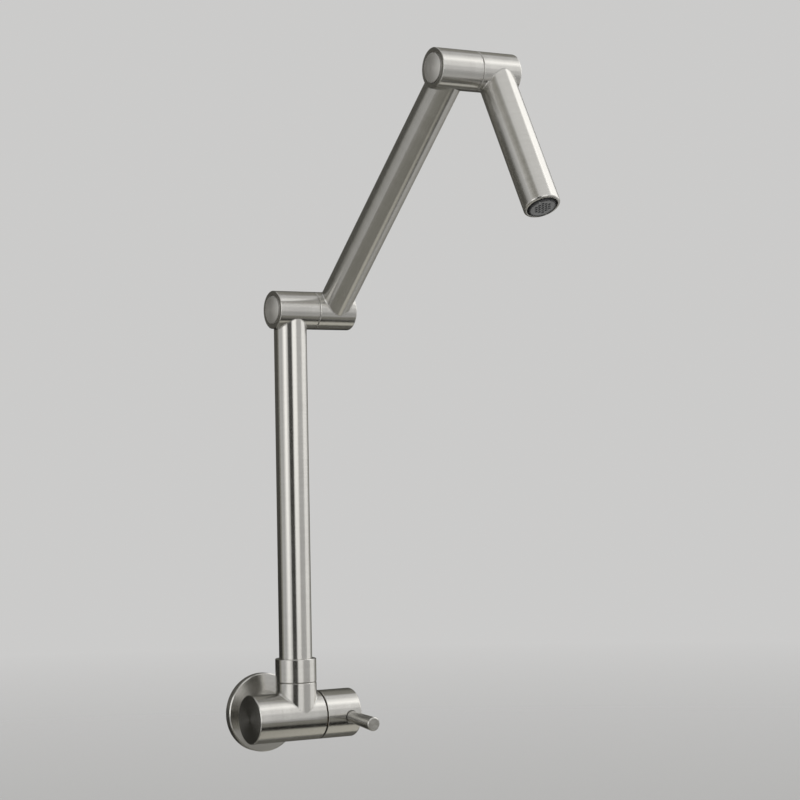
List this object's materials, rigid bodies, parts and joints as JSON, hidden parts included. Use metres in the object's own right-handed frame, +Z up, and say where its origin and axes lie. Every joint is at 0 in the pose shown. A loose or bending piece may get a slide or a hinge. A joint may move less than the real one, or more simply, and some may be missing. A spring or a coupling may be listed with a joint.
{
  "type": "wall mounted pot filler",
  "caption": "Articulated wall mounted tap for filling pots, with a side lever, a swivelling riser, an elbow, an arm, a wrist and a spout that fold flat.",
  "frame": {"origin": "where the inlet's axis meets the face of the wall", "axes": "+X to the right of someone who faces the wall, +Y into the wall along the inlet, +Z up along the riser"},
  "size_m": [0.1208, 0.297, 0.491],
  "materials": {
    "brushed_nickel": "brushed",
    "brass": "turned",
    "black_rubber": "matt",
    "bearing_plastic": "matt",
    "grey_plastic": "matt",
    "spring_steel": "plain",
    "ceramic": "polished ceramic"
  },
  "bodies": {
    "valve": {"wall_flange": "brushed_nickel", "wall_gasket": "black_rubber", "flange_o_ring": "black_rubber", "inlet_nipple": "brass", "inlet_washer": "black_rubber", "valve_body": "brushed_nickel", "cartridge_seat_seal": "black_rubber", "cartridge_fixed_disc": "ceramic", "cartridge_shell": "brass", "cartridge_o_ring": "black_rubber", "swivel_collar": "brushed_nickel", "lower_slip_ring": "bearing_plastic"},
    "handle": {"handle_hub": "brushed_nickel", "lever_rod": "brushed_nickel", "handle_grub_screw": "spring_steel", "cartridge_stem": "brass", "cartridge_moving_disc": "ceramic", "stem_o_rings": "black_rubber", "stem_circlip": "spring_steel"},
    "riser": {"swivel_spigot": "brass", "spigot_o_rings": "black_rubber", "upper_slip_ring": "bearing_plastic", "riser_tube": "brushed_nickel", "elbow_fixed_knuckle": "brushed_nickel", "elbow_end_cap": "brushed_nickel", "elbow_bearing_bush": "bearing_plastic", "elbow_friction_washer": "bearing_plastic"},
    "upper_arm": {"elbow_turning_knuckle": "brushed_nickel", "elbow_spindle": "brass", "elbow_o_rings": "black_rubber", "elbow_disc_spring": "spring_steel", "elbow_nut": "brass", "upper_tube": "brushed_nickel", "wrist_fixed_knuckle": "brushed_nickel", "wrist_end_cap": "brushed_nickel", "wrist_bearing_bush": "bearing_plastic", "wrist_friction_washer": "bearing_plastic"},
    "spout": {"wrist_turning_knuckle": "brushed_nickel", "wrist_spindle": "brass", "wrist_o_rings": "black_rubber", "wrist_disc_spring": "spring_steel", "wrist_nut": "brass", "spout_tube": "brushed_nickel", "aerator_seat_ring": "brass", "aerator_washer": "black_rubber", "aerator_diffuser": "grey_plastic", "aerator_mesh": "grey_plastic", "aerator_shell": "grey_plastic"}
  },
  "joints": [
    {"name": "lever_turn", "type": "hinge", "parent": "valve", "child": "handle", "pos_m": [0.0363, -0.044, 0], "axis": [-1, 0, 0], "range_deg": [0, 90]},
    {"name": "riser_swivel", "type": "hinge", "parent": "valve", "child": "riser", "pos_m": [0.00485, -0.0464, 0.038], "axis": [0, 0, 1], "range_deg": [-100, 41]},
    {"name": "elbow_hinge", "type": "hinge", "parent": "riser", "child": "upper_arm", "pos_m": [0.02325, -0.0464, 0.2959], "axis": [1, 0, 0], "range_deg": [-48, 122]},
    {"name": "wrist_hinge", "type": "hinge", "parent": "upper_arm", "child": "spout", "pos_m": [0.05785, -0.21546, 0.44813], "axis": [1, 0, 0], "range_deg": [-102.7, 67.3]}
  ]
}
